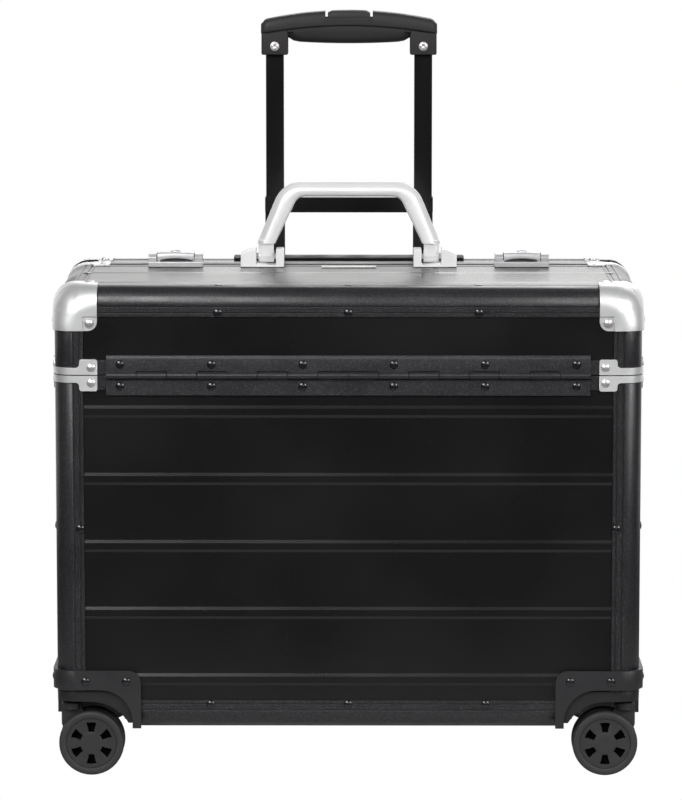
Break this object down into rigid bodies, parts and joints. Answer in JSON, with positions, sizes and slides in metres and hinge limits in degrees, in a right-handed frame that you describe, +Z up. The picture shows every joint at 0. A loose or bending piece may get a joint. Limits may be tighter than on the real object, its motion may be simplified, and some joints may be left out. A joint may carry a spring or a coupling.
{
  "type": "rolling pilot flight case",
  "caption": "Upright rolling pilot case with aluminium edge profiles, ribbed black panels, front-hinged lid, lever latches, bail handle, two-stage trolley handle and twin-wheel swivel casters.",
  "frame": {"origin": "on the floor, under the middle of the object's box", "axes": "+Z up, +X to the right seen from the hinge side, +Y towards the trolley handle"},
  "size_m": [0.4802, 0.2786, 0.6092],
  "materials": {
    "panel": "satin",
    "profile": "speckled black anodised",
    "silver_fitting": "satin silver",
    "bright_rivet": "polished",
    "black_rivet": "gloss black",
    "hinge": "satin black",
    "wheel_bracket": "satin black",
    "handle_metal": "satin chrome",
    "latch_metal": "brushed",
    "name_plate": "brushed",
    "trolley_tube": "gloss black",
    "trolley_plastic": "fine grain",
    "caster_plastic": "satin",
    "tyre": "matt",
    "lining": "woven"
  },
  "bodies": {
    "case": {"base_front_panel": "panel", "base_rear_panel": "panel", "base_side_panels": "panel", "base_bottom_panel": "panel", "base_rear_top_panel": "panel", "base_profiles": "profile", "base_seam_frame": "profile", "rear_ball_corners": "silver_fitting", "base_seam_brackets": "silver_fitting", "base_bright_rivets": "bright_rivet", "base_rivets": "black_rivet", "hinge_lower_leaf": "hinge", "hinge_pin": "hinge", "wheel_corner_brackets": "wheel_bracket", "wheel_housings": "caster_plastic", "base_lining": "lining", "floor_board": "lining", "latch_keepers": "latch_metal", "trolley_rails": "trolley_tube", "trolley_foot": "trolley_plastic", "trolley_bezel": "trolley_plastic"},
    "lid": {"lid_front_panel": "panel", "lid_top_panel": "panel", "lid_side_panels": "panel", "lid_profiles": "profile", "lid_seam_frame": "profile", "lid_ball_corners": "silver_fitting", "lid_seam_brackets": "silver_fitting", "lid_bright_rivets": "bright_rivet", "lid_rivets": "black_rivet", "hinge_upper_leaf": "hinge", "lid_lining": "lining", "handle_brackets": "handle_metal", "handle_pins": "handle_metal", "name_plate": "name_plate", "latch_housings": "latch_metal"},
    "carry_handle": {"carry_handle": "handle_metal"},
    "left_latch": {"left_latch_lever": "latch_metal"},
    "right_latch": {"right_latch_lever": "latch_metal"},
    "left_lock": {"left_lock_cylinder": "latch_metal"},
    "right_lock": {"right_lock_cylinder": "latch_metal"},
    "trolley_lower": {"trolley_lower_tubes": "trolley_tube", "trolley_bridge": "trolley_tube"},
    "trolley_upper": {"trolley_upper_tubes": "trolley_tube", "grip_shell": "trolley_plastic", "grip_palm": "trolley_plastic", "grip_screws": "bright_rivet"},
    "release_button": {"release_button": "trolley_plastic"},
    "front_left_fork": {"front_left_caster_fork": "caster_plastic"},
    "front_left_wheels": {"front_left_caster_hubs": "caster_plastic", "front_left_caster_tyres": "tyre"},
    "front_right_fork": {"front_right_caster_fork": "caster_plastic"},
    "front_right_wheels": {"front_right_caster_hubs": "caster_plastic", "front_right_caster_tyres": "tyre"},
    "rear_left_fork": {"rear_left_caster_fork": "caster_plastic"},
    "rear_left_wheels": {"rear_left_caster_hubs": "caster_plastic", "rear_left_caster_tyres": "tyre"},
    "rear_right_fork": {"rear_right_caster_fork": "caster_plastic"},
    "rear_right_wheels": {"rear_right_caster_hubs": "caster_plastic", "rear_right_caster_tyres": "tyre"}
  },
  "joints": [
    {"name": "lid_hinge", "type": "hinge", "parent": "case", "child": "lid", "pos_m": [0, -0.13665, 0.328], "axis": [1, 0, 0], "range_deg": [0, 100]},
    {"name": "handle_pivot", "type": "hinge", "parent": "lid", "child": "carry_handle", "pos_m": [0, 0.03935, 0.407], "axis": [1, 0, 0], "range_deg": [-70, 88]},
    {"name": "left_latch_lift", "type": "hinge", "parent": "lid", "child": "left_latch", "pos_m": [-0.145, 0.04635, 0.4061], "axis": [-1, 0, 0], "range_deg": [0, 55]},
    {"name": "right_latch_lift", "type": "hinge", "parent": "lid", "child": "right_latch", "pos_m": [0.145, 0.04635, 0.4061], "axis": [-1, 0, 0], "range_deg": [0, 55]},
    {"name": "left_lock_turn", "type": "hinge", "parent": "left_latch", "child": "left_lock", "pos_m": [-0.145, 0.03735, 0.4095], "axis": [0, 0, 1], "range_deg": [0, 90]},
    {"name": "right_lock_turn", "type": "hinge", "parent": "right_latch", "child": "right_lock", "pos_m": [0.145, 0.03735, 0.4095], "axis": [0, 0, 1], "range_deg": [0, 90]},
    {"name": "lower_stage_slide", "type": "slide", "parent": "case", "child": "trolley_lower", "axis": [0, 0, 1], "range_m": [-0.0355, 0.235]},
    {"name": "upper_stage_slide", "type": "slide", "parent": "trolley_lower", "child": "trolley_upper", "axis": [0, 0, 1], "range_m": [-0.121, 0.158]},
    {"name": "release_button_press", "type": "slide", "parent": "trolley_upper", "child": "release_button", "axis": [0, 0, -1], "range_m": [0, 0.0035], "stiffness_N_per_m": 600, "springref_m": -0.002},
    {"name": "front_left_swivel", "type": "hinge", "parent": "case", "child": "front_left_fork", "pos_m": [-0.22465, -0.11565, 0.059], "axis": [0, 0, 1], "continuous": true},
    {"name": "front_left_wheel_spin", "type": "hinge", "parent": "front_left_fork", "child": "front_left_wheels", "pos_m": [-0.20825, -0.11565, 0.0264], "axis": [0, 1, 0], "continuous": true},
    {"name": "front_right_swivel", "type": "hinge", "parent": "case", "child": "front_right_fork", "pos_m": [0.22465, -0.11565, 0.059], "axis": [0, 0, 1], "continuous": true},
    {"name": "front_right_wheel_spin", "type": "hinge", "parent": "front_right_fork", "child": "front_right_wheels", "pos_m": [0.20825, -0.11565, 0.0264], "axis": [0, 1, 0], "continuous": true},
    {"name": "rear_left_swivel", "type": "hinge", "parent": "case", "child": "rear_left_fork", "pos_m": [-0.22465, 0.09835, 0.059], "axis": [0, 0, 1], "continuous": true},
    {"name": "rear_left_wheel_spin", "type": "hinge", "parent": "rear_left_fork", "child": "rear_left_wheels", "pos_m": [-0.20825, 0.09835, 0.0264], "axis": [0, 1, 0], "continuous": true},
    {"name": "rear_right_swivel", "type": "hinge", "parent": "case", "child": "rear_right_fork", "pos_m": [0.22465, 0.09835, 0.059], "axis": [0, 0, 1], "continuous": true},
    {"name": "rear_right_wheel_spin", "type": "hinge", "parent": "rear_right_fork", "child": "rear_right_wheels", "pos_m": [0.20825, 0.09835, 0.0264], "axis": [0, 1, 0], "continuous": true}
  ]
}
